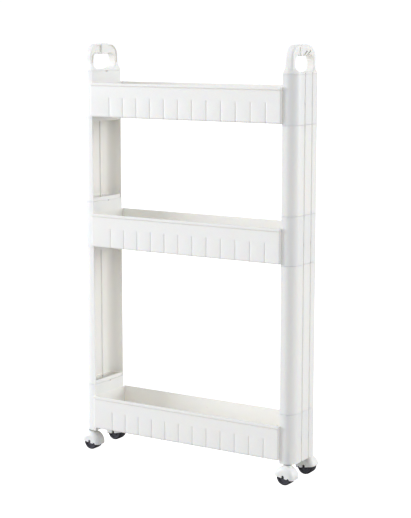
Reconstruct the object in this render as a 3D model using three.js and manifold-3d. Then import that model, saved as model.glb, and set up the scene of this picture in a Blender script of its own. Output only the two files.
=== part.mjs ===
// A slim rolling utility cart that slides into a narrow gap: three moulded trays, four hollow
// end panels between them, a loop handle at each end and four hooded swivel casters.
// Millimetres, +Z up, X along the cart, Y across it. The origin is on the floor at the middle.

import * as THREE from 'three';
import { mergeVertices } from 'three/addons/utils/BufferGeometryUtils.js';
import Module from 'manifold-3d';

const wasm = await Module();
wasm.setup();

// ---- Driving dimensions -------------------------------------------------------------------

const FIT_GAP = 0.35;              // between pieces that touch or seat in each other

const CART_LENGTH = 540;           // over the two end columns
const LOWER_BAY = 313.5;           // length of the lower connector panels
const UPPER_BAY = 185.5;           // length of the upper connector panels
const HANDLE_HEIGHT = 60;          // above the top tray's end blocks

const COLUMN_DEPTH = 109;          // end column across the cart
const COLUMN_THICKNESS = 32;       // end column along the cart
const COLUMN_CORNER = 24;          // radius of its two outer corners
const COLUMN_WALL = 2.4;
const FLUTE_SPACING = 31;          // between the two upright flutes in each end face
const FLUTE_WIDTH = 5;
const FLUTE_FLOOR_WIDTH = 3;
const FLUTE_DEPTH = 3;

const TRAY_DEPTH = 122;            // over the side walls
const TRAY_HEIGHT = 74;
const TRAY_WALL = 2.4;
const TRAY_FLOOR = 2.6;
const TRAY_RETURN = 31;            // plan radius that brings a side wall in to the column
const RIM_HEIGHT = 5;
const RIM_PROUD = 1;
const BLOCK_RISE = 25;             // end block above the tray rim
const BLOCK_DROP = 3;              // end block below the tray floor
const FOOT_DROP = 5;               // further drop of the bottom tray's blocks
const WEB_RISE = 40;               // floor of an end block's upper socket above the tray floor
const WEB_THICKNESS = 2.6;

const RIB_PITCH = 35.5;            // between upright grooves in a tray side
const RIB_OFFSET = 8;              // middle of the row of grooves from the middle of the cart
const RIB_WIDTH = 6;
const RIB_DEPTH = 1.1;
const RIB_TOP = 34;                // top of a groove below the rim's top face

const SPIGOT_LENGTH = 14;          // tongue that seats in a block's socket
const SPIGOT_ROOT = 8;
const SPIGOT_WALL = 2;
const LATCH_WIDTH = 10;
const LATCH_MARGIN = 0.6;          // from the top of a latch slot to the tray floor's underside

const HANDLE_THICKNESS = 18;       // loop along the cart
const HANDLE_SETBACK = 4;          // inner face of the loop from the column's inner face
const HANDLE_DEPTH = 100;          // loop across the cart
const HANDLE_LEG = 11;
const HANDLE_BAR = 22;             // top bar, top to bottom
const HANDLE_BASE = 3.5;           // plate under the opening
const HANDLE_FLARE = 11;           // height over which the legs widen to the column
const HANDLE_OUTER_RADIUS = 19;
const HANDLE_TOP_RADIUS = 7;       // upper corners of the opening
const HANDLE_SILL_RADIUS = 10;     // lower corners of the opening
const HANDLE_EDGE = 2.5;           // rounding of the loop's edges
const GRIP_BAND_WIDTH = 24;        // raised band at the middle of the bar
const GRIP_BAND_PROUD = 1.6;
const GRIP_SLOT_WIDTH = 2;
const GRIP_SLOT_LENGTH = 16;
const GRIP_SLOT_LEAN = 35;         // degrees from upright
const GRIP_SLOT_PITCH = 14;

const CASTER_TRAIL = 3;            // wheel axle from the stem
const CASTER_BORE_SKIN = 0.6;      // least wall between a caster bore and the column's corner
const STEM_RADIUS = 4;
const STEM_LENGTH = 22;            // of the stem above the block's underside
const STEM_HEAD_LIP = 2.5;         // head beyond the stem all round
const STEM_HEAD_HEIGHT = 1.8;
const SLEEVE_WALL = 1.25;
const SLEEVE_LENGTH = 24;
const BOSS_WALL = 2.05;
const BOSS_LENGTH = 27;
const WASHER_THICKNESS = 1;
const WASHER_INSET = 0.5;          // washer inside the collar's edge
const WHEEL_RADIUS = 17.5;
const WHEEL_WIDTH = 24;
const TYRE_THICKNESS = 2.4;
const WHEEL_RECESS = 3;            // depth of the dish in each wheel face
const AXLE_RADIUS = 2;
const HOOD_WALL = 3;
const HOOD_CLEARANCE = 2;          // round the wheel
const HOOD_EDGE = 8;               // rounding between the hood's crown and its cheeks
const HOOD_SKIRT = 3;              // lower edge of the hood below the axle
const HOOD_CROWN_PLATE = 3;        // plate that the stem passes through
const SWIVEL_RISE = 4;             // column's underside above the hood's crown
const AXLE_SLOT_RISE = 6.5;        // top of the slot in each cheek above the axle
const COLLAR_WALL = 2.15;          // round the stem's head

// ---- Sizes that follow --------------------------------------------------------------------

const columnOuter = CART_LENGTH / 2;
const columnInner = columnOuter - COLUMN_THICKNESS;
const columnMiddle = columnOuter - COLUMN_THICKNESS / 2;
const hoodInside = WHEEL_RADIUS + HOOD_CLEARANCE;
const hoodRadius = hoodInside + HOOD_WALL;
const casterHeight = WHEEL_RADIUS + hoodRadius + SWIVEL_RISE;
const stemBore = STEM_RADIUS + FIT_GAP;
const sleeveRadius = stemBore + SLEEVE_WALL;
const sleeveBore = sleeveRadius + FIT_GAP;
const bossRadius = sleeveBore + BOSS_WALL;
const stemHeadRadius = STEM_RADIUS + STEM_HEAD_LIP;
const stemHeadBore = stemHeadRadius + FIT_GAP;
const collarRadius = stemHeadBore + COLLAR_WALL;
const cornerX = columnOuter - COLUMN_CORNER;
const cornerY = COLUMN_DEPTH / 2 - COLUMN_CORNER;
const boreReach = COLUMN_CORNER - CASTER_BORE_SKIN - sleeveBore;
const casterY = cornerY + Math.sqrt(boreReach ** 2 - (columnMiddle - cornerX) ** 2);
const returnDrop = (TRAY_DEPTH - COLUMN_DEPTH) / 2;
const returnRun = Math.sqrt(TRAY_RETURN ** 2 - (TRAY_RETURN - returnDrop) ** 2);
const straightHalf = columnInner - returnRun;
const ribCount = Math.floor(2 * straightHalf / RIB_PITCH);
const latchHeight = BLOCK_DROP - LATCH_MARGIN;
const blockHeight = BLOCK_DROP + TRAY_HEIGHT + BLOCK_RISE;
const bottomTrayFloor = casterHeight + FOOT_DROP + BLOCK_DROP;
const middleTrayFloor = bottomTrayFloor + blockHeight + LOWER_BAY;
const topTrayFloor = middleTrayFloor + blockHeight + UPPER_BAY;
const blockTopOf = (trayFloor) => trayFloor + TRAY_HEIGHT + BLOCK_RISE;
const handleFoot = blockTopOf(topTrayFloor);
const OVERRUN = 1;                 // how far a cutting tool runs past the face it cuts
const SLIVER = 0.005;              // faces flatter than this are merged with their neighbours

// ---- Materials ----------------------------------------------------------------------------

const plastic = (color, roughness) => new THREE.MeshStandardMaterial({ color, roughness, metalness: 0 });
const whitePlastic = plastic(0xf4f3f6, 0.32);
const nylon = plastic(0xd9d6cc, 0.5);
const wheelPlastic = plastic(0x4b4a54, 0.5);
const tyreRubber = plastic(0x232227, 0.7);
const steel = new THREE.MeshStandardMaterial({ color: 0xb9bcc0, roughness: 0.3, metalness: 1 });

// ---- Solid helpers ------------------------------------------------------------------------

function solid(geometry) {
  const bare = geometry.clone();
  bare.deleteAttribute('normal');
  bare.deleteAttribute('uv');
  const merged = mergeVertices(bare, 1e-4);
  return new wasm.Manifold(new wasm.Mesh({
    numProp: 3,
    vertProperties: new Float32Array(merged.attributes.position.array),
    triVerts: new Uint32Array(merged.index.array),
  }));
}

function geometryOf(manifold) {
  const mesh = manifold.asOriginal().simplify(SLIVER).getMesh();
  const geometry = new THREE.BufferGeometry();
  geometry.setAttribute('position', new THREE.BufferAttribute(new Float32Array(mesh.vertProperties), 3));
  geometry.setIndex(new THREE.BufferAttribute(new Uint32Array(mesh.triVerts), 1));
  geometry.computeVertexNormals();
  return geometry;
}

function box(x0, x1, y0, y1, z0, z1) {
  const geometry = new THREE.BoxGeometry(x1 - x0, y1 - y0, z1 - z0);
  geometry.translate((x0 + x1) / 2, (y0 + y1) / 2, (z0 + z1) / 2);
  return solid(geometry);
}

// An outline in X and Y, raised from z0 to z1.
function upright(shape, z0, z1, curveSegments = 6) {
  const geometry = new THREE.ExtrudeGeometry(shape, { depth: z1 - z0, bevelEnabled: false, curveSegments });
  geometry.translate(0, 0, z0);
  return solid(geometry);
}

// Turns a solid drawn in X, Y, Z so that its X, Y, Z lie along the three given directions.
function redirect(geometry, x, y, z) {
  const basis = new THREE.Matrix4().makeBasis(
    new THREE.Vector3(...x), new THREE.Vector3(...y), new THREE.Vector3(...z));
  geometry.applyMatrix4(basis);
  return geometry;
}

// An outline drawn as (y, z), swept along X from x0 to x1.
function crosswise(shape, x0, x1, edge = 0, curveSegments = 8) {
  const geometry = new THREE.ExtrudeGeometry(shape, {
    depth: x1 - x0 - 2 * edge, curveSegments,
    bevelEnabled: edge > 0, bevelThickness: edge, bevelSize: edge, bevelOffset: -edge, bevelSegments: 2,
  });
  geometry.translate(0, 0, x0 + edge);
  return solid(redirect(geometry, [0, 1, 0], [0, 0, 1], [1, 0, 0]));
}

// An outline drawn as (x, z), swept along Y from y0 to y1.
function lengthwise(shape, y0, y1) {
  const geometry = new THREE.ExtrudeGeometry(shape, { depth: y1 - y0, bevelEnabled: false });
  geometry.translate(0, 0, -y1);
  return solid(redirect(geometry, [1, 0, 0], [0, 0, 1], [0, -1, 0]));
}

function polygon(points) {
  return new THREE.Shape(points.map(([x, y]) => new THREE.Vector2(x, y)));
}

// A profile of [radius, height] points turned about an upright line at x, y.
function turned(profile, x, y, segments) {
  const geometry = new THREE.LatheGeometry(profile.map(([r, z]) => new THREE.Vector2(r, z)), segments);
  redirect(geometry, [1, 0, 0], [0, 0, 1], [0, -1, 0]);
  geometry.translate(x, y, 0);
  return solid(geometry);
}

// A profile of [radius, offset] points turned about a line along Y through x, y, z.
function turnedAcross(profile, x, y, z, segments) {
  const points = profile.map(([r, offset]) => new THREE.Vector2(r, offset));
  const geometry = new THREE.LatheGeometry(points, segments);
  geometry.translate(x, y, z);
  return solid(geometry);
}

// ---- The column outline -------------------------------------------------------------------

// Plan of an end column at the +X end: flat inner face, two large outer corners and two flutes
// in the end face. The inset moves every face in by a wall; the inner face has its own inset.
function columnOutline(inset, innerInset = inset) {
  const outer = columnOuter - inset;
  const inner = columnInner + innerInset;
  const half = COLUMN_DEPTH / 2 - inset;
  const radius = COLUMN_CORNER - inset;
  const outline = new THREE.Shape();
  outline.moveTo(inner, -half);
  outline.lineTo(cornerX, -half);
  outline.absarc(cornerX, -cornerY, radius, -Math.PI / 2, 0);
  for (const middle of [-FLUTE_SPACING / 2, FLUTE_SPACING / 2]) {
    const mouth = FLUTE_WIDTH / 2 + inset;
    const floor = FLUTE_FLOOR_WIDTH / 2 + inset;
    outline.lineTo(outer, middle - mouth);
    outline.lineTo(outer - FLUTE_DEPTH, middle - floor);
    outline.lineTo(outer - FLUTE_DEPTH, middle + floor);
    outline.lineTo(outer, middle + mouth);
  }
  outline.absarc(cornerX, cornerY, radius, 0, Math.PI / 2);
  outline.lineTo(inner, half);
  return outline;
}

// ---- Tray ---------------------------------------------------------------------------------

// Plan of the tray between the columns. Each side wall curves in to the column over a short run.
function trayOutline(outset, reach) {
  const half = TRAY_DEPTH / 2 + outset;
  const radius = TRAY_RETURN + outset;
  const turn = Math.asin(returnRun / TRAY_RETURN);
  const bendY = half - radius;
  const end = half - radius + radius * Math.cos(turn);
  const outline = new THREE.Shape();
  outline.moveTo(reach, -end);
  outline.lineTo(reach, end);
  outline.absarc(straightHalf, bendY, radius, Math.PI / 2 - turn, Math.PI / 2);
  outline.absarc(-straightHalf, bendY, radius, Math.PI / 2, Math.PI / 2 + turn);
  outline.lineTo(-reach, end);
  outline.lineTo(-reach, -end);
  outline.absarc(-straightHalf, -bendY, radius, -Math.PI / 2 - turn, -Math.PI / 2);
  outline.absarc(straightHalf, -bendY, radius, -Math.PI / 2, -Math.PI / 2 + turn);
  return outline;
}

// One upright groove of V section in a side wall, cut by a prism that ends in a slanted face.
function ribTool(x, side, floorZ) {
  const face = TRAY_DEPTH / 2;
  const plan = polygon([
    [x - RIB_WIDTH / 2, face], [x, face - RIB_DEPTH], [x + RIB_WIDTH / 2, face], [x, face + RIB_DEPTH],
  ]);
  const prism = upright(plan, floorZ - OVERRUN, floorZ + TRAY_HEIGHT - RIB_TOP);
  return side > 0 ? prism : prism.mirror([0, 1, 0]);
}

// An end block is a length of the column with a socket in its top and another in its foot.
function endBlock(floorZ, isBottom) {
  const foot = floorZ - BLOCK_DROP - (isBottom ? FOOT_DROP : 0);
  const head = blockTopOf(floorZ);
  const web = floorZ + WEB_RISE;
  let block = upright(columnOutline(0), foot, head);
  const hollow = columnOutline(COLUMN_WALL);
  block = block.subtract(upright(hollow, web, head + OVERRUN));
  const latch = (z0, z1) => box(columnInner - OVERRUN, columnInner + COLUMN_WALL + OVERRUN,
    -LATCH_WIDTH / 2, LATCH_WIDTH / 2, z0, z1);
  block = block.subtract(latch(head - latchHeight, head + OVERRUN));
  if (!isBottom) {
    block = block.subtract(upright(hollow, foot - OVERRUN, web - WEB_THICKNESS));
    return block.subtract(latch(foot - OVERRUN, foot + latchHeight));
  }
  // The bottom blocks are closed below by a plate that carries the two caster bosses.
  block = block.subtract(box(columnInner + COLUMN_WALL, columnMiddle - bossRadius - COLUMN_WALL,
    -COLUMN_DEPTH / 2 + COLUMN_WALL, COLUMN_DEPTH / 2 - COLUMN_WALL, foot - OVERRUN, web - WEB_THICKNESS));
  let core = upright(hollow, foot + WEB_THICKNESS, web - WEB_THICKNESS);
  for (const y of [-casterY, casterY]) {
    core = core.subtract(turned([[0, foot], [bossRadius, foot], [bossRadius, foot + BOSS_LENGTH],
      [0, foot + BOSS_LENGTH]], columnMiddle, y, 24));
  }
  block = block.subtract(core);
  for (const y of [-casterY, casterY]) {
    const end = foot + SLEEVE_LENGTH + FIT_GAP;
    block = block.subtract(turned([[0, foot - OVERRUN], [sleeveBore, foot - OVERRUN],
      [sleeveBore, end], [0, end]], columnMiddle, y, 24));
  }
  return block;
}

function tray(floorZ, isBottom) {
  const top = floorZ + TRAY_HEIGHT;
  const reach = columnInner + COLUMN_WALL / 2;
  let body = upright(trayOutline(0, reach), floorZ, top);
  const rim = upright(trayOutline(RIM_PROUD, columnInner), top - RIM_HEIGHT, top);
  body = body.add(rim);
  const block = endBlock(floorZ, isBottom);
  const hollow = upright(trayOutline(-TRAY_WALL, columnInner), floorZ + TRAY_FLOOR, top + OVERRUN);
  body = body.subtract(hollow).add(block).add(block.mirror([1, 0, 0]));
  for (let i = 0; i < ribCount; i += 1) {
    const x = RIB_OFFSET + (i - (ribCount - 1) / 2) * RIB_PITCH;
    body = body.subtract(ribTool(x, -1, floorZ)).subtract(ribTool(-x, 1, floorZ));
  }
  return body;
}

// ---- Connector panel ----------------------------------------------------------------------

// A tongue that seats in a block's socket, from inside the panel at zRoot to its tip at zTip.
function spigot(zSeam, direction) {
  const along = (a, b) => [Math.min(zSeam + direction * a, zSeam + direction * b),
    Math.max(zSeam + direction * a, zSeam + direction * b)];
  const outerInset = COLUMN_WALL + FIT_GAP;
  const innerInset = outerInset + SPIGOT_WALL;
  const overlap = COLUMN_WALL / 2;
  let tongue = upright(columnOutline(outerInset), ...along(-SPIGOT_ROOT, SPIGOT_LENGTH));
  tongue = tongue.add(upright(columnOutline(overlap, outerInset), ...along(-SPIGOT_ROOT, 0)));
  tongue = tongue.subtract(upright(columnOutline(innerInset),
    ...along(-SPIGOT_ROOT - OVERRUN, SPIGOT_LENGTH + OVERRUN)));
  const [z0, z1] = along(-SPIGOT_ROOT / 2, latchHeight - FIT_GAP);
  const half = LATCH_WIDTH / 2 - FIT_GAP;
  return tongue.add(box(columnInner + FIT_GAP, columnInner + outerInset + SPIGOT_WALL / 2,
    -half, half, z0, z1));
}

function connector(z0, z1) {
  const foot = z0 + FIT_GAP / 2;
  const head = z1 - FIT_GAP / 2;
  let panel = upright(columnOutline(0), foot, head);
  panel = panel.subtract(upright(columnOutline(COLUMN_WALL, -OVERRUN), foot - OVERRUN, head + OVERRUN));
  return panel.add(spigot(foot, -1)).add(spigot(head, 1));
}

// ---- Handle -------------------------------------------------------------------------------

function roundedOpening(half, sill, head, sillRadius, headRadius) {
  const opening = new THREE.Shape();
  opening.moveTo(-half + sillRadius, sill);
  opening.absarc(half - sillRadius, sill + sillRadius, sillRadius, -Math.PI / 2, 0);
  opening.absarc(half - headRadius, head - headRadius, headRadius, 0, Math.PI / 2);
  opening.absarc(-half + headRadius, head - headRadius, headRadius, Math.PI / 2, Math.PI);
  opening.absarc(-half + sillRadius, sill + sillRadius, sillRadius, Math.PI, Math.PI * 1.5);
  return opening;
}

function handle() {
  const foot = handleFoot + FIT_GAP / 2;
  const top = handleFoot + HANDLE_HEIGHT - GRIP_BAND_PROUD;
  const sill = foot + HANDLE_BASE;
  const flareTop = sill + HANDLE_FLARE;
  const inner = columnInner + HANDLE_SETBACK;
  const outer = inner + HANDLE_THICKNESS;
  const half = HANDLE_DEPTH / 2;
  const columnHalf = COLUMN_DEPTH / 2;

  const arch = new THREE.Shape();
  arch.moveTo(-half, foot);
  arch.lineTo(half, foot);
  arch.lineTo(half, top - HANDLE_OUTER_RADIUS);
  arch.absarc(half - HANDLE_OUTER_RADIUS, top - HANDLE_OUTER_RADIUS, HANDLE_OUTER_RADIUS, 0, Math.PI / 2);
  arch.absarc(-half + HANDLE_OUTER_RADIUS, top - HANDLE_OUTER_RADIUS, HANDLE_OUTER_RADIUS,
    Math.PI / 2, Math.PI);
  let loop = crosswise(arch, inner, outer, HANDLE_EDGE);

  // Base plate and the flare from the column's outline up to the legs.
  const ends = polygon([[columnInner, foot], [columnOuter, foot], [columnOuter, sill], [outer, flareTop],
    [inner, flareTop], [columnInner, sill]]);
  const sides = polygon([[-columnHalf, foot], [columnHalf, foot], [columnHalf, sill], [half, flareTop],
    [-half, flareTop], [-columnHalf, sill]]);
  const flare = lengthwise(ends, -columnHalf, columnHalf)
    .intersect(crosswise(sides, columnInner - OVERRUN, columnOuter + OVERRUN))
    .intersect(upright(columnOutline(0), foot, flareTop));
  loop = loop.add(flare);

  // Raised band round the middle of the bar.
  const barFoot = top - HANDLE_BAR;
  loop = loop.add(box(inner - GRIP_BAND_PROUD, outer, -GRIP_BAND_WIDTH / 2, GRIP_BAND_WIDTH / 2,
    barFoot - GRIP_BAND_PROUD, top + GRIP_BAND_PROUD));
  const opening = roundedOpening(half - HANDLE_LEG, sill, barFoot, HANDLE_SILL_RADIUS, HANDLE_TOP_RADIUS);
  loop = loop.subtract(crosswise(opening, columnInner - OVERRUN, columnOuter + OVERRUN)
    .subtract(box(columnInner - 2 * OVERRUN, columnOuter + 2 * OVERRUN, -GRIP_BAND_WIDTH / 2,
      GRIP_BAND_WIDTH / 2, barFoot - GRIP_BAND_PROUD, top)));

  // Slots in the outer face of the bar: one upright at the front and two that lean.
  const slot = (y, lean) => {
    const geometry = new THREE.BoxGeometry(2 * GRIP_BAND_PROUD, GRIP_SLOT_WIDTH, GRIP_SLOT_LENGTH);
    geometry.rotateX(-lean * Math.PI / 180);
    geometry.translate(outer, y, top - HANDLE_BAR / 2);
    return solid(geometry);
  };
  loop = loop.subtract(slot(-GRIP_SLOT_PITCH * 1.5, 0)).subtract(slot(0, GRIP_SLOT_LEAN))
    .subtract(slot(GRIP_SLOT_PITCH, GRIP_SLOT_LEAN));

  return loop.add(spigot(foot, -1).intersect(box(columnInner, columnOuter, -columnHalf, columnHalf,
    foot - SPIGOT_LENGTH - OVERRUN, foot + HANDLE_BASE)));
}

// ---- Caster -------------------------------------------------------------------------------

function casterPieces(endX, y) {
  const stemX = endX * columnMiddle;
  const wheelX = endX * (columnMiddle - CASTER_TRAIL);
  const axleZ = WHEEL_RADIUS;
  const hoodRim = axleZ - HOOD_SKIRT;
  const washerTop = casterHeight - FIT_GAP;
  const washerFoot = washerTop - WASHER_THICKNESS;
  const collarTop = washerFoot - FIT_GAP;
  const washerRadius = collarRadius - WASHER_INSET;

  const sleeve = turned([[stemBore, casterHeight + FIT_GAP], [sleeveRadius, casterHeight + FIT_GAP],
    [sleeveRadius, casterHeight + SLEEVE_LENGTH], [stemBore, casterHeight + SLEEVE_LENGTH],
    [stemBore, casterHeight + FIT_GAP]], stemX, y, 24);
  const washer = turned([[stemBore, washerFoot], [washerRadius, washerFoot], [washerRadius, washerTop],
    [stemBore, washerTop], [stemBore, washerFoot]], stemX, y, 24);

  // Hood: crown and cheeks round the wheel, a collar under the washer, and a plate for the stem.
  const insideHalf = WHEEL_WIDTH / 2 + 1;
  const hoodHalf = insideHalf + HOOD_WALL;
  const shoulder = [];
  for (let i = 0; i <= 4; i += 1) {
    const turn = i / 4 * Math.PI / 2;
    const drop = HOOD_EDGE * (1 - Math.cos(turn));
    shoulder.push([hoodRadius - drop, hoodHalf - HOOD_EDGE * (1 - Math.sin(turn))]);
  }
  const mirrored = shoulder.map(([r, offset]) => [r, -offset]).reverse();
  const crown = [[0, -hoodHalf], ...mirrored, ...shoulder, [0, hoodHalf]];
  let hood = turnedAcross(crown, wheelX, y, axleZ, 28);
  hood = hood.add(turned([[0, axleZ], [collarRadius, axleZ], [collarRadius, collarTop],
    [0, collarTop]], stemX, y, 20));
  const plateFoot = collarTop - HOOD_CROWN_PLATE;
  hood = hood.subtract(turnedAcross([[0, -insideHalf], [hoodInside, -insideHalf], [hoodInside, insideHalf],
    [0, insideHalf]], wheelX, y, axleZ, 32));
  hood = hood.subtract(box(wheelX - 2 * hoodInside, wheelX + 2 * hoodInside, y - hoodInside, y + hoodInside,
    axleZ - hoodRadius - OVERRUN, hoodRim));
  const slotHalf = AXLE_RADIUS + FIT_GAP;
  hood = hood.subtract(box(wheelX - slotHalf, wheelX + slotHalf,
    y - hoodHalf - OVERRUN, y + hoodHalf + OVERRUN, hoodRim - OVERRUN, axleZ + AXLE_SLOT_RISE));
  hood = hood.subtract(turned([[0, axleZ + hoodInside / 2], [stemHeadBore, axleZ + hoodInside / 2],
    [stemHeadBore, plateFoot], [stemBore, plateFoot], [stemBore, collarTop + OVERRUN],
    [0, collarTop + OVERRUN]], stemX, y, 24));

  const headTop = plateFoot - FIT_GAP;
  const stem = turned([[0, headTop - STEM_HEAD_HEIGHT], [stemHeadRadius, headTop - STEM_HEAD_HEIGHT],
    [stemHeadRadius, headTop], [STEM_RADIUS, headTop], [STEM_RADIUS, casterHeight + STEM_LENGTH - 1],
    [STEM_RADIUS - 1, casterHeight + STEM_LENGTH], [0, casterHeight + STEM_LENGTH]], stemX, y, 24);

  const axleHalf = hoodHalf - 1;
  const axle = turnedAcross([[0, -axleHalf], [AXLE_RADIUS, -axleHalf], [AXLE_RADIUS, axleHalf],
    [0, axleHalf]], wheelX, y, axleZ, 16);

  const half = WHEEL_WIDTH / 2;
  const rimRadius = WHEEL_RADIUS - TYRE_THICKNESS - FIT_GAP;
  const hubRadius = AXLE_RADIUS + 3.5;
  const hubBore = AXLE_RADIUS + FIT_GAP;
  const dish = half - WHEEL_RECESS;
  const wheel = turnedAcross([[hubBore, -half], [hubRadius, -half], [hubRadius + 1, -dish],
    [rimRadius - 3, -dish], [rimRadius - 2, -half], [rimRadius, -half], [rimRadius, half],
    [rimRadius - 2, half], [rimRadius - 3, dish], [hubRadius + 1, dish], [hubRadius, half],
    [hubBore, half], [hubBore, -half]], wheelX, y, axleZ, 24);
  const tyreBore = WHEEL_RADIUS - TYRE_THICKNESS;
  const tyre = turnedAcross([[tyreBore, -half], [WHEEL_RADIUS - 1.4, -half],
    [WHEEL_RADIUS - 0.4, 1 - half], [WHEEL_RADIUS, 3 - half], [WHEEL_RADIUS, half - 3],
    [WHEEL_RADIUS - 0.4, half - 1], [WHEEL_RADIUS - 1.4, half], [tyreBore, half],
    [tyreBore, -half]], wheelX, y, axleZ, 32);

  return [['stem_sleeve', sleeve, nylon], ['stem', stem, steel], ['swivel_washer', washer, steel],
    ['hood', hood, whitePlastic], ['axle', axle, steel], ['wheel', wheel, wheelPlastic],
    ['tyre', tyre, tyreRubber]];
}

// ---- Assembly -----------------------------------------------------------------------------

const cart = new THREE.Group();
cart.name = 'rolling_utility_cart';

function place(name, manifold, material) {
  const mesh = new THREE.Mesh(geometryOf(manifold), material);
  mesh.name = name;
  cart.add(mesh);
}

place('tray_top', tray(topTrayFloor, false), whitePlastic);
place('tray_middle', tray(middleTrayFloor, false), whitePlastic);
place('tray_bottom', tray(bottomTrayFloor, true), whitePlastic);

const upperPanel = connector(blockTopOf(middleTrayFloor), topTrayFloor - BLOCK_DROP);
const lowerPanel = connector(blockTopOf(bottomTrayFloor), middleTrayFloor - BLOCK_DROP);
const loopHandle = handle();
for (const [side, direction] of [['left', -1], ['right', 1]]) {
  const sided = (piece) => (direction > 0 ? piece : piece.mirror([1, 0, 0]));
  place(`connector_upper_${side}`, sided(upperPanel), whitePlastic);
  place(`connector_lower_${side}`, sided(lowerPanel), whitePlastic);
  place(`handle_${side}`, sided(loopHandle), whitePlastic);
  for (const [end, sign] of [['front', -1], ['back', 1]]) {
    for (const [piece, body, material] of casterPieces(direction, sign * casterY)) {
      place(`${piece}_${end}_${side}`, body, material);
    }
  }
}

export default cart;
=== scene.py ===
import math

import bmesh
import bpy
from mathutils import Matrix, Vector


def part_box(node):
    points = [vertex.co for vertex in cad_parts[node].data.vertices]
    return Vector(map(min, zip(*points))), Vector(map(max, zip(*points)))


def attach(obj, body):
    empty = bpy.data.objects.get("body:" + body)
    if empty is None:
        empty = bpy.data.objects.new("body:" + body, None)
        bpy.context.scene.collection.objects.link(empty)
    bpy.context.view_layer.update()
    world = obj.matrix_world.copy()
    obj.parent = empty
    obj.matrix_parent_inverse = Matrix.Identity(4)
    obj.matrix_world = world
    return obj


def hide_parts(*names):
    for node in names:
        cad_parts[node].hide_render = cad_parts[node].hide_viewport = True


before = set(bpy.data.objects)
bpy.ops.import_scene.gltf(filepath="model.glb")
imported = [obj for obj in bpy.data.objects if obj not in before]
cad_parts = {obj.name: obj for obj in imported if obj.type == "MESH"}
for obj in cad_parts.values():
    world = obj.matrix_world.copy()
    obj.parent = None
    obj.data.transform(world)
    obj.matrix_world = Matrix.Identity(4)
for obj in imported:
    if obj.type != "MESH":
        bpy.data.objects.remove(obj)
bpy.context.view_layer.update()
scene = bpy.context.scene


# ---- Studio --------------------------------------------------------------------------------
# A seamless pale floor under an even sky, a large soft panel at the front left and two more at
# the right and behind, all plain. The camera stands at the front right, a little above the middle.

FLOOR_SIDE = 60.0
SKY_LIGHT = 0.78
SKY_SEEN = 1.15
FLOOR_LIGHT = 0.02
FLOOR_SEEN = 1.0
SUBJECT = (0, 0, 0.5)
COOL_WHITE = (0.89, 0.915, 1.0)
SOFT_WHITE = (0.96, 0.965, 1.0)
CAMERA_PLACE = (1.65655, -2.60441, 0.94025)
CAMERA_DIP = 8.995
CAMERA_TURN = 32.12
CAMERA_LENS = 100.02


def node_tree(owner):
    owner.use_nodes = True
    tree = owner.node_tree
    tree.nodes.clear()
    return tree


def add_node(tree, kind, inputs=None, **settings):
    node = tree.nodes.new(kind)
    for key, value in settings.items():
        setattr(node, key, value)
    for key, value in (inputs or {}).items():
        node.inputs[key].default_value = value
    return node


def soft_panel(name, place, aim, width, height, power, colour):
    light = bpy.data.lights.new(name, "AREA")
    light.shape = "RECTANGLE"
    light.size, light.size_y = width, height
    light.energy = power
    light.color = colour
    panel = bpy.data.objects.new(name, light)
    panel.location = place
    panel.rotation_mode = "QUATERNION"
    panel.rotation_quaternion = (Vector(aim) - Vector(place)).to_track_quat("-Z", "Y")
    scene.collection.objects.link(panel)
    return panel


sky = bpy.data.worlds.new("studio")
scene.world = sky
tree = node_tree(sky)
seen = add_node(tree, "ShaderNodeLightPath")
strength = add_node(tree, "ShaderNodeMapRange", {"To Min": SKY_LIGHT, "To Max": SKY_SEEN})
background = add_node(tree, "ShaderNodeBackground", {"Color": (0.9, 0.925, 1.0, 1)})
output = add_node(tree, "ShaderNodeOutputWorld")
tree.links.new(seen.outputs["Is Camera Ray"], strength.inputs["Value"])
tree.links.new(strength.outputs["Result"], background.inputs["Strength"])
tree.links.new(background.outputs["Background"], output.inputs["Surface"])

bm = bmesh.new()
bmesh.ops.create_grid(bm, x_segments=1, y_segments=1, size=FLOOR_SIDE / 2)
floor_mesh = bpy.data.meshes.new("floor")
bm.to_mesh(floor_mesh)
bm.free()
floor = bpy.data.objects.new("floor", floor_mesh)
scene.collection.objects.link(floor)

floor_paint = bpy.data.materials.new("pale_floor")
tree = node_tree(floor_paint)
matt = add_node(tree, "ShaderNodeBsdfDiffuse", {"Color": (0.5, 0.49, 0.47, 1)})
lift = add_node(tree, "ShaderNodeEmission", {"Color": (1, 1, 1, 1)})
seen = add_node(tree, "ShaderNodeLightPath")
glow = add_node(tree, "ShaderNodeMapRange", {"To Min": FLOOR_LIGHT, "To Max": FLOOR_SEEN})
both = add_node(tree, "ShaderNodeAddShader")
output = add_node(tree, "ShaderNodeOutputMaterial")
tree.links.new(seen.outputs["Is Camera Ray"], glow.inputs["Value"])
tree.links.new(glow.outputs["Result"], lift.inputs["Strength"])
tree.links.new(matt.outputs["BSDF"], both.inputs[0])
tree.links.new(lift.outputs["Emission"], both.inputs[1])
tree.links.new(both.outputs["Shader"], output.inputs["Surface"])
floor_mesh.materials.append(floor_paint)

soft_panel("left_panel", (-4.8, -3.0, 2.0), SUBJECT, 2.6, 3.2, 232, COOL_WHITE)
soft_panel("right_panel", (4.6, 1.8, 1.6), SUBJECT, 2.4, 3.0, 68, SOFT_WHITE)
soft_panel("far_right_panel", (3.5, 2.8, 1.5), SUBJECT, 2.4, 3.0, 24, COOL_WHITE)

camera_data = bpy.data.cameras.new("camera")
camera_data.sensor_width = 36
camera_data.lens = CAMERA_LENS
camera_data.clip_end = 50
camera = bpy.data.objects.new("camera", camera_data)
camera.location = CAMERA_PLACE
camera.rotation_euler = (math.radians(90 - CAMERA_DIP), 0, math.radians(CAMERA_TURN))
scene.collection.objects.link(camera)
scene.camera = camera
scene.view_settings.view_transform = "Standard"


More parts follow.
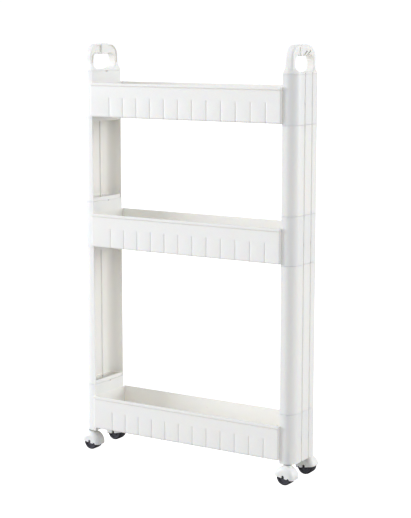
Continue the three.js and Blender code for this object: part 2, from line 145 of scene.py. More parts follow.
# ---- Trays ---------------------------------------------------------------------------------
# Three white polypropylene basins, each moulded in one piece with a length of the end column
# at both ends. Upright grooves stiffen the side walls and a lip runs round the rim. The column
# panels and the handles plug into the hollow blocks, and casters fit bores in the lowest two.

MM = 0.001
COLUMN_DEPTH = 109
COLUMN_THICKNESS = 32
COLUMN_CORNER = 24
COLUMN_WALL = 2.4
FLUTE_MIDDLE = 15.5
FLUTE_MOUTH = 5
FLUTE_FLOOR = 3
FLUTE_DEPTH = 3
FLUTE_EDGE = 0.5
CART_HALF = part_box("tray_top")[1].x / MM
COLUMN_INNER = CART_HALF - COLUMN_THICKNESS

TRAY_HALF_DEPTH = 61
TRAY_HALF_LENGTH = 239.5
TRAY_CORNER = 4
TRAY_WALL = 2.4
TRAY_FLOOR = 2.6
OUTER_SKIN = 3.5
LIP_PROUD = 1.8
LIP_HEIGHT = 5
UNDERCUT_DEPTH = 1
UNDERCUT_HEIGHT = 2
UNDERCUT_SLOPE = 0.4
FLOOR_TAPER = 0.995
BLOCK_RISE = 30
BLOCK_DROP = 3
BOTTOM_BLOCK_DROP = 8
TRAY_HEIGHT = 74
WEB_RISE = 40
WEB_THICKNESS = 2.6
LATCH_HALF = 5
LATCH_HEIGHT = 2.4
BORE_RADIUS = 5.95
BORE_Y = 46
BORE_DEPTH = 25
POCKET_HALF = 34
POCKET_HEIGHT = 26

FOOT_EDGE = 3.6
FLOOR_EDGE = 4
LIP_EDGE = 1.1
SEAM_EDGE = 0.6
OVERRUN = 1

GROOVES = 12
GROOVE_PITCH = 35.5
GROOVE_OFFSET = 8
GROOVE_WIDTH = 5.4
GROOVE_DEPTH = 1.7
GROOVE_TOP = 41
GROOVE_RUNOUT = 3


def block_of(bm, low, high):
    """A plain box between two corners."""
    made = bmesh.ops.create_cube(bm, size=1)["verts"]
    size = Vector(high) - Vector(low)
    bmesh.ops.scale(bm, vec=size, verts=made)
    bmesh.ops.translate(bm, vec=(Vector(high) + Vector(low)) / 2, verts=made)
    return made


def upright_edges(bm, test):
    return [e for e in bm.edges
            if (e.verts[0].co.xy - e.verts[1].co.xy).length < 1e-4 and test(e.verts[0].co)]


def level_edges(bm, z, sharpness=0.6):
    """Sharp edges that lie level at the height z."""
    return [e for e in bm.edges
            if all(abs(v.co.z - z) < 1e-3 for v in e.verts) and e.calc_face_angle(0) > sharpness]


def round_edges(bm, edges, radius, segments):
    return bmesh.ops.bevel(bm, geom=edges, offset=radius, offset_type="OFFSET", affect="EDGES",
                           segments=segments, profile=0.5, material=-1, clamp_overlap=True)


def level_face(bm, z, up):
    """The widest face that lies level at the height z, facing up or down."""
    faces = [f for f in bm.faces if f.normal.z * up > 0.99 and abs(f.calc_center_median().z - z) < 1e-3]
    return max(faces, key=lambda f: f.calc_area())


def push(bm, face, rise, grow=(1, 1)):
    """Extrudes one level face by a rise, and grows its outline in X and Y."""
    new = bmesh.ops.extrude_discrete_faces(bm, faces=[face])["faces"][0]
    bmesh.ops.translate(bm, vec=(0, 0, rise), verts=new.verts)
    bmesh.ops.scale(bm, vec=(grow[0], grow[1], 1), verts=new.verts)
    return new


def cut_across(bm, faces, point, normal):
    """Scores a line across the given faces and returns the faces that hold it."""
    edges = {e for f in faces for e in f.edges}
    verts = {v for f in faces for v in f.verts}
    cut = bmesh.ops.bisect_plane(bm, geom=list(faces) + list(edges) + list(verts),
                                 plane_co=point, plane_no=normal, dist=1e-4)
    return [f for f in cut["geom"] if isinstance(f, bmesh.types.BMFace)]


def column_length(low, high, inset=0):
    """A solid length of the end column at +X: two large corners and two flutes outside."""
    bm = bmesh.new()
    outer, half = CART_HALF - inset, COLUMN_DEPTH / 2 - inset
    block_of(bm, (COLUMN_INNER + inset, -half, low), (outer, half, high))
    round_edges(bm, upright_edges(bm, lambda p: p.x > outer - 1), COLUMN_CORNER - inset, 12)
    end = [f for f in bm.faces if f.normal.x > 0.999]
    for middle in (-FLUTE_MIDDLE, FLUTE_MIDDLE):
        for away in (FLUTE_MOUTH / 2 + inset, FLUTE_FLOOR / 2 + inset):
            for y in (middle - away, middle + away):
                end = cut_across(bm, end, (0, y, 0), (0, 1, 0))
    for v in bm.verts:
        if v.co.x > outer - 1e-3 and abs(abs(v.co.y) - FLUTE_MIDDLE) < FLUTE_FLOOR / 2 + inset + 1e-3:
            v.co.x -= FLUTE_DEPTH
    if not inset:
        round_edges(bm, upright_edges(bm, lambda p: abs(abs(p.y) - FLUTE_MIDDLE) < FLUTE_MOUTH
                                      and p.x > COLUMN_INNER + 1), FLUTE_EDGE, 2)
    return bm


def as_solid(bm, name):
    """Puts a mesh drawn in millimetres into the scene in metres."""
    bmesh.ops.scale(bm, vec=(MM, MM, MM), verts=bm.verts)
    bmesh.ops.recalc_face_normals(bm, faces=bm.faces)
    mesh = bpy.data.meshes.new(name)
    bm.to_mesh(mesh)
    bm.free()
    piece = bpy.data.objects.new(name, mesh)
    scene.collection.objects.link(piece)
    return piece


def applied(piece):
    """Works a piece's modifiers into its mesh."""
    bpy.context.view_layer.update()
    shape = piece.evaluated_get(bpy.context.evaluated_depsgraph_get())
    mesh = bpy.data.meshes.new_from_object(shape)
    old = piece.data
    piece.modifiers.clear()
    piece.data = mesh
    bpy.data.meshes.remove(old)
    return piece


def combine(piece, tool, operation):
    """Joins or cuts one solid with another, and uses the second one up."""
    cutter = piece.modifiers.new("combine", "BOOLEAN")
    cutter.operation = operation
    cutter.solver = "EXACT"
    cutter.object = tool
    applied(piece)
    used = tool.data
    bpy.data.objects.remove(tool)
    bpy.data.meshes.remove(used)
    return piece


def finish_piece(piece, name, body, nodes, material, sharp=32):
    """Smooths a finished mesh, gives it its material and fixes it to its body."""
    piece.name = piece.data.name = name
    bm = bmesh.new()
    bm.from_mesh(piece.data)
    bmesh.ops.remove_doubles(bm, verts=bm.verts, dist=1e-6)
    bmesh.ops.dissolve_degenerate(bm, edges=bm.edges, dist=1e-6)
    bm.to_mesh(piece.data)
    bm.free()
    piece.data.shade_smooth()
    piece.data.set_sharp_from_angle(angle=math.radians(sharp))
    even = piece.modifiers.new("even_shading", "WEIGHTED_NORMAL")
    even.keep_sharp = True
    piece.data.materials.clear()
    piece.data.materials.append(material)
    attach(piece, body)
    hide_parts(*nodes)
    return piece


def grained_plastic(name, colour, deep, rough, grain, bump, translucence=0):
    """Moulded plastic: a faint cloudiness in colour and gloss, and a fine grain."""
    material = bpy.data.materials.new(name)
    tree = node_tree(material)
    place = add_node(tree, "ShaderNodeTexCoord")
    cloud = add_node(tree, "ShaderNodeTexNoise", {"Scale": 14.0, "Detail": 3.0, "Roughness": 0.55})
    tint = add_node(tree, "ShaderNodeMix", {"A": (*deep, 1), "B": (*colour, 1)}, data_type="RGBA")
    tree.links.new(place.outputs["Object"], cloud.inputs["Vector"])
    tree.links.new(cloud.outputs["Fac"], tint.inputs["Factor"])
    flow = add_node(tree, "ShaderNodeTexNoise", {"Scale": 45.0, "Detail": 2.0})
    gloss = add_node(tree, "ShaderNodeMapRange", {"To Min": rough - 0.05, "To Max": rough + 0.06})
    tree.links.new(place.outputs["Object"], flow.inputs["Vector"])
    tree.links.new(flow.outputs["Fac"], gloss.inputs["Value"])
    fine = add_node(tree, "ShaderNodeTexNoise", {"Scale": grain, "Detail": 2.0})
    relief = add_node(tree, "ShaderNodeBump", {"Strength": bump, "Distance": 0.0004})
    tree.links.new(place.outputs["Object"], fine.inputs["Vector"])
    tree.links.new(fine.outputs["Fac"], relief.inputs["Height"])
    shader = add_node(tree, "ShaderNodeBsdfPrincipled", {
        "IOR": 1.49, "Subsurface Weight": translucence, "Subsurface Scale": 0.004,
        "Subsurface Radius": (1.0, 0.75, 0.5)})
    output = add_node(tree, "ShaderNodeOutputMaterial")
    tree.links.new(tint.outputs["Result"], shader.inputs["Base Color"])
    tree.links.new(gloss.outputs["Result"], shader.inputs["Roughness"])
    tree.links.new(relief.outputs["Normal"], shader.inputs["Normal"])
    tree.links.new(shader.outputs["BSDF"], output.inputs["Surface"])
    return material


white_plastic = grained_plastic("white_polypropylene", (0.955, 0.932, 0.872), (0.94, 0.915, 0.85),
                                0.3, 900, 0.12, 0.3)


def tray_basin(floor_z):
    """The open basin between the two end blocks."""
    bm = bmesh.new()
    lip_z, top_z = floor_z + TRAY_HEIGHT - LIP_HEIGHT, floor_z + TRAY_HEIGHT
    wall_z = lip_z - UNDERCUT_HEIGHT
    block_of(bm, (-TRAY_HALF_LENGTH, -TRAY_HALF_DEPTH, floor_z), (TRAY_HALF_LENGTH, TRAY_HALF_DEPTH, wall_z))
    round_edges(bm, upright_edges(bm, lambda p: True), TRAY_CORNER, 5)
    thin = [(half - UNDERCUT_DEPTH) / half for half in (TRAY_HALF_LENGTH, TRAY_HALF_DEPTH)]
    proud = [(half + LIP_PROUD) / (half - UNDERCUT_DEPTH) for half in (TRAY_HALF_LENGTH, TRAY_HALF_DEPTH)]
    face = push(bm, level_face(bm, wall_z, 1), UNDERCUT_SLOPE, thin)
    face = push(bm, face, UNDERCUT_HEIGHT - UNDERCUT_SLOPE)
    face = push(bm, face, 0, proud)
    face = push(bm, face, LIP_HEIGHT)
    bmesh.ops.inset_region(bm, faces=[face], thickness=LIP_PROUD + TRAY_WALL, use_even_offset=True)
    push(bm, level_face(bm, top_z, 1), TRAY_FLOOR - TRAY_HEIGHT, (1, FLOOR_TAPER))
    round_edges(bm, level_edges(bm, floor_z), FOOT_EDGE, 4)
    round_edges(bm, level_edges(bm, floor_z + TRAY_FLOOR), FLOOR_EDGE, 3)
    round_edges(bm, level_edges(bm, top_z), LIP_EDGE, 2)

    for side, offset in ((-1, GROOVE_OFFSET), (1, -GROOVE_OFFSET)):
        wall = [f for f in bm.faces if f.normal.y * side > 0.05
                and f.calc_center_median().y * side > TRAY_HALF_DEPTH - OUTER_SKIN
                and f.calc_center_median().z < wall_z - 1 and f.normal.z < 0.01
                and abs(f.calc_center_median().x) < 1]
        for z in (floor_z + GROOVE_TOP, floor_z + GROOVE_TOP + GROOVE_RUNOUT):
            wall = cut_across(bm, wall, (0, 0, z), (0, 0, 1))
        for i in range(GROOVES):
            middle = offset + (i - (GROOVES - 1) / 2) * GROOVE_PITCH
            for x in (middle - GROOVE_WIDTH / 2, middle, middle + GROOVE_WIDTH / 2):
                wall = cut_across(bm, wall, (x, 0, 0), (1, 0, 0))
            for v in {v for f in wall for v in f.verts}:
                if abs(v.co.x - middle) < 1e-3 and v.co.z < floor_z + GROOVE_TOP + 1e-3:
                    v.co.y -= side * GROOVE_DEPTH
    for side in (-1, 1):
        end = side * (COLUMN_INNER + COLUMN_WALL / 2)
        geom = list(bm.verts) + list(bm.edges) + list(bm.faces)
        bmesh.ops.bisect_plane(bm, geom=geom, plane_co=(end, 0, 0), plane_no=(side, 0, 0), clear_outer=True)
        bmesh.ops.contextual_create(bm, geom=[e for e in bm.edges if e.is_boundary])
    return bm


def end_block(floor_z, is_bottom):
    """A hollow block of the column: a socket above and another, or caster bores, below."""
    foot = floor_z - (BOTTOM_BLOCK_DROP if is_bottom else BLOCK_DROP)
    head = floor_z + TRAY_HEIGHT - LIP_HEIGHT + BLOCK_RISE
    web = floor_z + WEB_RISE
    bm = column_length(foot, head)
    sockets = [(head, 1, web)]
    latches = [(head - LATCH_HEIGHT, head + OVERRUN)]
    if not is_bottom:
        sockets.append((foot, -1, web - WEB_THICKNESS))
        latches.append((foot - OVERRUN, foot + LATCH_HEIGHT))
    for mouth, up, end in sockets:
        bmesh.ops.inset_region(bm, faces=[level_face(bm, mouth, up)], thickness=COLUMN_WALL,
                               use_even_offset=True)
        push(bm, level_face(bm, mouth, up), end - mouth)
    round_edges(bm, [e for z in (foot, head) for e in level_edges(bm, z)], SEAM_EDGE, 2)
    block = as_solid(bm, "block")

    cuts = bmesh.new()
    for low, high in latches:
        block_of(cuts, (COLUMN_INNER - OVERRUN, -LATCH_HALF, low),
                 (COLUMN_INNER + COLUMN_WALL + OVERRUN, LATCH_HALF, high))
    if is_bottom:
        block_of(cuts, (COLUMN_INNER + 3, -POCKET_HALF, foot - OVERRUN),
                 (CART_HALF - 6, POCKET_HALF, foot + POCKET_HEIGHT))
        round_edges(cuts, upright_edges(cuts, lambda p: abs(p.y) > POCKET_HALF - 1), 4, 4)
        for y in (-BORE_Y, BORE_Y):
            centre = (CART_HALF - COLUMN_THICKNESS / 2, y, foot + (BORE_DEPTH - OVERRUN) / 2)
            bmesh.ops.create_cone(cuts, cap_ends=True, segments=32, radius1=BORE_RADIUS, radius2=BORE_RADIUS,
                                  depth=BORE_DEPTH + OVERRUN, matrix=Matrix.Translation(centre))
    return combine(block, as_solid(cuts, "cuts"), "DIFFERENCE")


def mirrored(piece, name):
    """A copy of a right-hand piece for the left-hand end."""
    bm = bmesh.new()
    bm.from_mesh(piece.data)
    bmesh.ops.scale(bm, vec=(-1, 1, 1), verts=bm.verts)
    bmesh.ops.reverse_faces(bm, faces=bm.faces)
    mesh = bpy.data.meshes.new(name)
    bm.to_mesh(mesh)
    bm.free()
    copy = bpy.data.objects.new(name, mesh)
    scene.collection.objects.link(copy)
    return copy


for tier in ("bottom", "middle", "top"):
    is_bottom = tier == "bottom"
    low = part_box(f"tray_{tier}")[0].z / MM
    floor_z = low + (BOTTOM_BLOCK_DROP if is_bottom else BLOCK_DROP)
    tray = as_solid(tray_basin(floor_z), "basin")
    right_block = end_block(floor_z, is_bottom)
    left_block = mirrored(right_block, "left_block")
    combine(tray, right_block, "UNION")
    combine(tray, left_block, "UNION")
    finish_piece(tray, f"{tier}_tray_moulding", "cart", [f"tray_{tier}"], white_plastic)


# ---- Column panels -------------------------------------------------------------------------
# Four open-backed mouldings carry the column on between the trays. Each has the same outer
# face as the end blocks, flutes included, and a hollow tongue at both ends that plugs into
# the blocks and snaps home.

TONGUE_LENGTH = 13.5
TONGUE_ROOT = 8
TONGUE_GAP = 0.35
TONGUE_WALL = 2
TONGUE_OVERHANG = 14
ROOT_GROWTH = 0.2
ROOT_SETBACK = 0.4
SEAM_GAP = 0.1


def open_panel(low, high):
    """The outer skin of the column, open towards the middle of the cart."""
    bm = column_length(low, high)
    spare = [f for f in bm.faces if f.normal.x < -0.99 or abs(f.normal.z) > 0.99]
    bmesh.ops.delete(bm, geom=spare, context="FACES")
    panel = as_solid(bm, "panel")
    wall = panel.modifiers.new("wall", "SOLIDIFY")
    wall.thickness = COLUMN_WALL * MM
    wall.offset = -1
    wall.use_even_offset = True
    rounding = panel.modifiers.new("edges", "BEVEL")
    rounding.width = SEAM_EDGE * MM
    rounding.segments = 2
    rounding.limit_method = "ANGLE"
    rounding.angle_limit = math.radians(50)
    return applied(panel)


def tongue(seam, direction):
    """A hollow plug, thicker at its root inside the panel."""
    levels = sorted((seam - direction * TONGUE_ROOT, seam - direction * ROOT_SETBACK))
    root = as_solid(column_length(*levels, inset=COLUMN_WALL - ROOT_GROWTH), "root")
    levels = sorted((seam - direction * (TONGUE_ROOT - 1), seam + direction * TONGUE_LENGTH))
    plug = as_solid(column_length(*levels, inset=COLUMN_WALL + TONGUE_GAP), "plug")
    combine(root, plug, "UNION")
    levels = sorted((seam - direction * (TONGUE_ROOT + 2), seam + direction * (TONGUE_LENGTH + 2)))
    bore = as_solid(column_length(*levels, inset=COLUMN_WALL + TONGUE_GAP + TONGUE_WALL), "bore")
    return combine(root, bore, "DIFFERENCE")


for level in ("lower", "upper"):
    low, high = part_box(f"connector_{level}_right")
    foot, head = low.z / MM + TONGUE_OVERHANG, high.z / MM - TONGUE_OVERHANG
    panel = open_panel(foot + SEAM_GAP, head - SEAM_GAP)
    combine(panel, tongue(foot, -1), "UNION")
    combine(panel, tongue(head, 1), "UNION")
    left = mirrored(panel, "left_panel")
    for piece, end in ((panel, "right"), (left, "left")):
        finish_piece(piece, f"{level}_{end}_panel", "cart",
                     [f"connector_{level}_{end}"], white_plastic)


# ---- Handles -------------------------------------------------------------------------------
# Two moulded loops snap into the tops of the columns. Each flares from the column's outline
# into two legs and a bar with a raised band at its middle. Three slots cross its outer face,
# and the face towards the cart is sunk between two thin rims.

HANDLE_THICKNESS = 18
HANDLE_INNER = COLUMN_INNER + 4
HANDLE_OUTER = HANDLE_INNER + HANDLE_THICKNESS
HANDLE_HALF = 50
SHOULDER = 26
OUTER_EDGE = 6
INNER_EDGE = 2.5
LEG_WIDTH = 10
BAR_HEIGHT = 20
SILL_RISE = 3.5
FLARE_HEIGHT = 20
FLARE_STEPS = 7
OPENING_TOP_RADIUS = 15
OPENING_FOOT_RADIUS = 13
RIM_RADIUS = 2
RIM_STEPS = 3
CHANNEL_DEPTH = 3
CHANNEL_RIM = 2.6
CHANNEL_OVERLAP = 6
BAND_HALF = 12
BAND_PROUD = 1.6
BAND_FACE_PROUD = 2.2
BAND_SETBACK = 0.5
BAND_EDGE = 1.2
SLOT_HALF_WIDTH = 1.9
SLOT_HALF_LENGTH = 10.5
SLOT_DEPTH = 9
SLOT_LEAN = 56

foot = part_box("tray_top")[1].z / MM + 2 * SEAM_GAP
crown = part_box("handle_right")[1].z / MM - BAND_PROUD
sill = foot + SILL_RISE
bar_foot = crown - BAR_HEIGHT
inside = HANDLE_HALF - LEG_WIDTH
middle = (HANDLE_INNER + HANDLE_OUTER) / 2


def lengthwise_edges(bm, above):
    """Edges above a height that run along the cart."""
    return [e for e in bm.edges if all(v.co.z > above for v in e.verts)
            and abs(e.verts[0].co.y - e.verts[1].co.y) < 1e-3]


bm = bmesh.new()
block_of(bm, (HANDLE_INNER, -HANDLE_HALF, foot + 1), (HANDLE_OUTER, HANDLE_HALF, crown))
round_edges(bm, lengthwise_edges(bm, crown - 1e-3), SHOULDER, 12)
for x, radius, steps in ((HANDLE_OUTER, OUTER_EDGE, 6), (HANDLE_INNER, INNER_EDGE, 4)):
    outline = [e for e in bm.edges if e.calc_face_angle(0) > 0.9
               and all(abs(v.co.x - x) < 1e-3 for v in e.verts) and max(v.co.z for v in e.verts) > foot + 2]
    round_edges(bm, outline, radius, steps)
loop = as_solid(bm, "loop")

bm = column_length(foot, sill)
face = level_face(bm, sill, 1)
bmesh.ops.translate(bm, vec=(-middle, 0, 0), verts=bm.verts)
across, along, risen = COLUMN_THICKNESS / 2, COLUMN_DEPTH / 2, 0
for i in range(1, FLARE_STEPS + 1):
    rise = FLARE_HEIGHT * i / FLARE_STEPS
    ease = 1 - (1 - i / FLARE_STEPS) ** 2
    width = COLUMN_THICKNESS / 2 + (HANDLE_THICKNESS - COLUMN_THICKNESS) / 2 * ease
    depth = COLUMN_DEPTH / 2 + (HANDLE_HALF - COLUMN_DEPTH / 2) * ease
    face = push(bm, face, rise - risen, (width / across, depth / along))
    across, along, risen = width, depth, rise
bmesh.ops.translate(bm, vec=(middle, 0, 0), verts=bm.verts)
combine(loop, as_solid(bm, "base"), "UNION")

# The opening is cut by a plug that widens towards both faces, which rounds its rim.
span = bar_foot - sill
straight = HANDLE_THICKNESS / 2 - RIM_RADIUS
bm = bmesh.new()
block_of(bm, (-inside, 0, -straight), (inside, span, straight))
round_edges(bm, upright_edges(bm, lambda p: p.y > 1), OPENING_TOP_RADIUS, 8)
lower = [e for e in upright_edges(bm, lambda p: p.y < 1) if e.calc_face_angle(0) > 0.9]
round_edges(bm, lower, OPENING_FOOT_RADIUS, 8)
for up in (1, -1):
    face = level_face(bm, straight * up, up)
    grown, depth = 0, RIM_RADIUS
    for i in range(1, RIM_STEPS + 1):
        turn = i / RIM_STEPS * math.pi / 2
        wider, nearer = RIM_RADIUS * (1 - math.cos(turn)), RIM_RADIUS * (1 - math.sin(turn))
        face = push(bm, face, up * (depth - nearer), ((inside + wider) / (inside + grown),
                                                      (span + wider) / (span + grown)))
        grown, depth = wider, nearer
    push(bm, face, up * COLUMN_THICKNESS)
stand_up = Matrix(((0, 0, 1), (1, 0, 0), (0, 1, 0)))
bmesh.ops.rotate(bm, cent=(0, 0, 0), matrix=stand_up, verts=bm.verts)
bmesh.ops.translate(bm, vec=(middle, 0, sill), verts=bm.verts)
combine(loop, as_solid(bm, "opening"), "DIFFERENCE")

# An arch, the loop's outline less a rim, sinks the face towards the cart round the opening.
channel = (HANDLE_INNER - OVERRUN, HANDLE_INNER + CHANNEL_DEPTH)
bm = bmesh.new()
edge = HANDLE_HALF - CHANNEL_RIM
block_of(bm, (channel[0], -edge, sill + FLARE_HEIGHT - CHANNEL_OVERLAP),
         (channel[1], edge, crown - CHANNEL_RIM))
round_edges(bm, lengthwise_edges(bm, crown - CHANNEL_RIM - 1e-3), SHOULDER - CHANNEL_RIM, 12)
sunk = as_solid(bm, "sunk")
bm = bmesh.new()
edge = inside + CHANNEL_RIM
block_of(bm, (channel[0] - 2, -edge, sill), (channel[1] + 2, edge, bar_foot + CHANNEL_RIM))
round_edges(bm, lengthwise_edges(bm, sill + 1), OPENING_TOP_RADIUS, 8)
combine(sunk, as_solid(bm, "kept"), "DIFFERENCE")
combine(loop, sunk, "DIFFERENCE")

bm = bmesh.new()
block_of(bm, (HANDLE_INNER - BAND_FACE_PROUD, -BAND_HALF, bar_foot - BAND_PROUD),
         (HANDLE_OUTER - BAND_SETBACK, BAND_HALF, crown + BAND_PROUD))
round_edges(bm, list(bm.edges), BAND_EDGE, 3)
combine(loop, as_solid(bm, "band"), "UNION")

bm = bmesh.new()
for y, rise, lean in ((-20, 5.1, 0), (1.5, 2.6, SLOT_LEAN), (16.5, 3.4, SLOT_LEAN)):
    made = block_of(bm, (-SLOT_DEPTH, -SLOT_HALF_WIDTH, -SLOT_HALF_LENGTH),
                    (SLOT_DEPTH, SLOT_HALF_WIDTH, SLOT_HALF_LENGTH))
    turn = Matrix.Rotation(math.radians(-lean), 3, "X")
    bmesh.ops.rotate(bm, cent=(0, 0, 0), matrix=turn, verts=made)
    bmesh.ops.translate(bm, vec=(HANDLE_OUTER, y, bar_foot + rise), verts=made)
combine(loop, as_solid(bm, "slots"), "DIFFERENCE")

inset = COLUMN_WALL + TONGUE_GAP
plug = as_solid(column_length(foot - TONGUE_LENGTH, foot + 1, inset=inset), "plug")
bore = column_length(foot - TONGUE_LENGTH - 1.5, foot - 1, inset=inset + TONGUE_WALL)
combine(plug, as_solid(bore, "bore"), "DIFFERENCE")
combine(loop, plug, "UNION")
left = mirrored(loop, "left_loop")
for piece, end in ((loop, "right"), (left, "left")):
    finish_piece(piece, f"{end}_loop_handle", "cart", [f"handle_{end}"], white_plastic)


# ---- Caster fittings -----------------------------------------------------------------------
# A nylon sleeve is pressed into each boss, a plated steel stem with a flat head turns in it,
# and a plated washer takes the load. The axle is a blackened pin across the hood.

def plated_steel(name, dark, light):
    """Metal plating: a fine spangle in colour and gloss, and faint turning marks."""
    material = bpy.data.materials.new(name)
    tree = node_tree(material)
    place = add_node(tree, "ShaderNodeTexCoord")
    spangle = add_node(tree, "ShaderNodeTexNoise", {"Scale": 260.0, "Detail": 4.0, "Roughness": 0.6})
    tint = add_node(tree, "ShaderNodeMix", {"A": (*dark, 1), "B": (*light, 1)}, data_type="RGBA")
    gloss = add_node(tree, "ShaderNodeMapRange", {"To Min": 0.24, "To Max": 0.42})
    turned = add_node(tree, "ShaderNodeTexNoise", {"Scale": 1500.0, "Detail": 2.0})
    relief = add_node(tree, "ShaderNodeBump", {"Strength": 0.15, "Distance": 0.0002})
    shader = add_node(tree, "ShaderNodeBsdfPrincipled", {"Metallic": 1.0})
    output = add_node(tree, "ShaderNodeOutputMaterial")
    tree.links.new(place.outputs["Object"], spangle.inputs["Vector"])
    tree.links.new(place.outputs["Object"], turned.inputs["Vector"])
    tree.links.new(spangle.outputs["Fac"], tint.inputs["Factor"])
    tree.links.new(spangle.outputs["Fac"], gloss.inputs["Value"])
    tree.links.new(turned.outputs["Fac"], relief.inputs["Height"])
    tree.links.new(tint.outputs["Result"], shader.inputs["Base Color"])
    tree.links.new(gloss.outputs["Result"], shader.inputs["Roughness"])
    tree.links.new(relief.outputs["Normal"], shader.inputs["Normal"])
    tree.links.new(shader.outputs["BSDF"], output.inputs["Surface"])
    return material


zinc = plated_steel("zinc_plated_steel", (0.52, 0.53, 0.55), (0.68, 0.69, 0.7))
black_oxide = plated_steel("black_oxide_steel", (0.05, 0.05, 0.055), (0.09, 0.09, 0.1))
natural_nylon = grained_plastic("natural_nylon", (0.72, 0.69, 0.61), (0.66, 0.63, 0.55), 0.45, 700, 0.15)
CORNERS = [(end, side) for side in ("left", "right") for end in ("front", "back")]


def refinish(node, material):
    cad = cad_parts[node]
    cad.data.materials.clear()
    cad.data.materials.append(material)


for end, side in CORNERS:
    refinish(f"stem_sleeve_{end}_{side}", natural_nylon)
    for part, finish in (("stem", zinc), ("swivel_washer", zinc), ("axle", black_oxide)):
        refinish(f"{part}_{end}_{side}", finish)


# ---- Caster hoods --------------------------------------------------------------------------
# White moulded hoods cover the upper half of each wheel, round all over, with a short collar
# under the washer. The axle snaps up into a slot in each cheek, and a notch eases the rim.

HOOD_RADIUS = 23
HOOD_HALF = 17
HOOD_ROUNDING = 10
HOOD_WALL = 2.5
HOOD_RIM = 16.5
HOOD_RAKE = 10
COLLAR_TOP = 42.3
COLLAR_HEIGHT = 6.3
COLLAR_RADII = (10, 9)
STEM_BORE = 4.35
STEM_HEAD_BORE = 7.2
STEM_HEAD_TOP = 39.3
AXLE_SLOT = (3.2, 22.5)
NOTCH = (3, 17.2)
NOTCH_AWAY = 12
SLOT_REACH = 30
SLOT_FOOT = 6


def hood(low, high, name):
    """A turned shell, cut off below on a rake, with a collar and two openings in each cheek."""
    axle = (Vector(low) + Vector(high)) / 2 / MM
    bm = bmesh.new()
    line = [bm.verts.new(axle + Vector((0, y, z))) for y, z in (
        (-HOOD_HALF, 0), (-HOOD_HALF, HOOD_RADIUS), (HOOD_HALF, HOOD_RADIUS), (HOOD_HALF, 0))]
    for pair in zip(line, line[1:]):
        bm.edges.new(pair)
    bmesh.ops.bevel(bm, geom=line[1:3], offset=HOOD_ROUNDING, offset_type="OFFSET", segments=8,
                    profile=0.5, affect="VERTICES", material=-1)
    bmesh.ops.spin(bm, geom=list(bm.verts) + list(bm.edges), cent=axle, axis=(0, 1, 0),
                   angle=2 * math.pi, steps=56, use_merge=True)
    bmesh.ops.remove_doubles(bm, verts=bm.verts, dist=1e-3)
    rake = math.tan(math.radians(HOOD_RAKE)) * (1 if axle.y < 0 else -1)
    bmesh.ops.bisect_plane(bm, geom=list(bm.verts) + list(bm.edges) + list(bm.faces),
                           plane_co=(axle.x, axle.y, HOOD_RIM), plane_no=(-rake, 0, -1), clear_outer=True)
    shell = as_solid(bm, name)
    wall = shell.modifiers.new("wall", "SOLIDIFY")
    wall.thickness = HOOD_WALL * MM
    wall.offset = -1
    wall.use_even_offset = True
    applied(shell)

    stem_x = math.copysign(CART_HALF - COLUMN_THICKNESS / 2, axle.x)
    cone = bmesh.new()
    bmesh.ops.create_cone(cone, cap_ends=True, segments=40, radius1=COLLAR_RADII[0], radius2=COLLAR_RADII[1],
                          depth=COLLAR_HEIGHT,
                          matrix=Matrix.Translation((stem_x, axle.y, COLLAR_TOP - COLLAR_HEIGHT / 2)))
    combine(shell, as_solid(cone, "collar"), "UNION")
    cuts = bmesh.new()
    for bore, foot, head in ((STEM_BORE, 36, 48), (STEM_HEAD_BORE, STEM_HEAD_TOP - 9, STEM_HEAD_TOP)):
        bmesh.ops.create_cone(cuts, cap_ends=True, segments=32, radius1=bore, radius2=bore, depth=head - foot,
                              matrix=Matrix.Translation((stem_x, axle.y, (foot + head) / 2)))
    combine(shell, as_solid(cuts, "stem_bore"), "DIFFERENCE")

    slot_cut = bmesh.new()
    notch_x = axle.x + math.copysign(NOTCH_AWAY, rake)
    for middle, (half, top) in ((axle.x, AXLE_SLOT), (notch_x, NOTCH)):
        block_of(slot_cut, (middle - half, axle.y - SLOT_REACH, SLOT_FOOT),
                 (middle + half, axle.y + SLOT_REACH, top))
        tops = [e for e in slot_cut.edges if all(abs(v.co.z - top) < 1e-3 for v in e.verts)
                and abs(e.verts[0].co.y - e.verts[1].co.y) > 1]
        round_edges(slot_cut, tops, half - 0.1, 6)
    combine(shell, as_solid(slot_cut, "slots"), "DIFFERENCE")
    return shell


for end, side in CORNERS:
    piece = hood(*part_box(f"tyre_{end}_{side}"), "hood")
    finish_piece(piece, f"{end}_{side}_caster_hood", f"caster_{end}_{side}",
                 [f"hood_{end}_{side}"], white_plastic)


# ---- Wheels --------------------------------------------------------------------------------
# Each wheel is a dark grey moulded core with a dished face and a hub, and a darker tyre
# moulded over it with a rounded shoulder at each side.

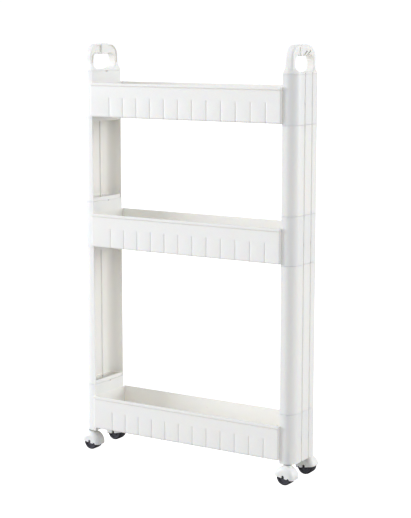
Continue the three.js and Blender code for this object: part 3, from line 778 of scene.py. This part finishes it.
wheel_grey = grained_plastic("wheel_core_plastic", (0.075, 0.074, 0.088), (0.055, 0.054, 0.066),
                             0.42, 800, 0.2)
tyre_black = grained_plastic("tyre_rubber", (0.022, 0.021, 0.026), (0.014, 0.014, 0.017), 0.6, 1200, 0.35)
WHEEL_STEPS = 56
TYRE_THICKNESS = 2.4
CORE_GAP = 0.3
DISH_DEPTH = 2.6
AXLE_BORE = 2.35
HUB_RADIUS = 5
HUB_PROUD = 0.6


def turned_ring(side, centre):
    """A ring alike on both sides: (radius, offset) points of one side, turned about the axle."""
    bm = bmesh.new()
    outline = [(radius, -offset) for radius, offset in side] + side[::-1]
    verts = [bm.verts.new(centre + Vector((0, offset, radius))) for radius, offset in outline]
    edges = [bm.edges.new(pair) for pair in zip(verts, verts[1:] + verts[:1])]
    bmesh.ops.spin(bm, geom=verts + edges, cent=centre, axis=(0, 1, 0), angle=2 * math.pi,
                   steps=WHEEL_STEPS, use_merge=True)
    bmesh.ops.remove_doubles(bm, verts=bm.verts, dist=1e-3)
    bmesh.ops.recalc_face_normals(bm, faces=bm.faces)
    return bm


for end, side in CORNERS:
    low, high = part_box(f"tyre_{end}_{side}")
    centre = (low + high) / 2 / MM
    radius, half = (high.z - low.z) / 2 / MM, (high.y - low.y) / 2 / MM
    inner = radius - TYRE_THICKNESS
    bm = turned_ring([(inner, half - 0.4), (inner + 0.4, half), (radius - 1.9, half),
                      (radius - 0.9, half - 0.35), (radius - 0.2, half - 1.2), (radius, half - 2.4)], centre)
    finish_piece(as_solid(bm, "tyre"), f"{end}_{side}_tyre_tread", f"wheel_{end}_{side}",
                 [f"tyre_{end}_{side}"], tyre_black)
    rim, dish, hub = inner - CORE_GAP, half - DISH_DEPTH, half + HUB_PROUD
    bm = turned_ring([(AXLE_BORE, hub), (HUB_RADIUS, hub), (HUB_RADIUS + 0.6, half), (HUB_RADIUS + 1.2, dish),
                      (rim - 2.6, dish), (rim - 1.8, half - 0.3), (rim - 0.3, half - 0.1),
                      (rim, half - 0.6)], centre)
    finish_piece(as_solid(bm, "core"), f"{end}_{side}_wheel_core", f"wheel_{end}_{side}",
                 [f"wheel_{end}_{side}"], wheel_grey)
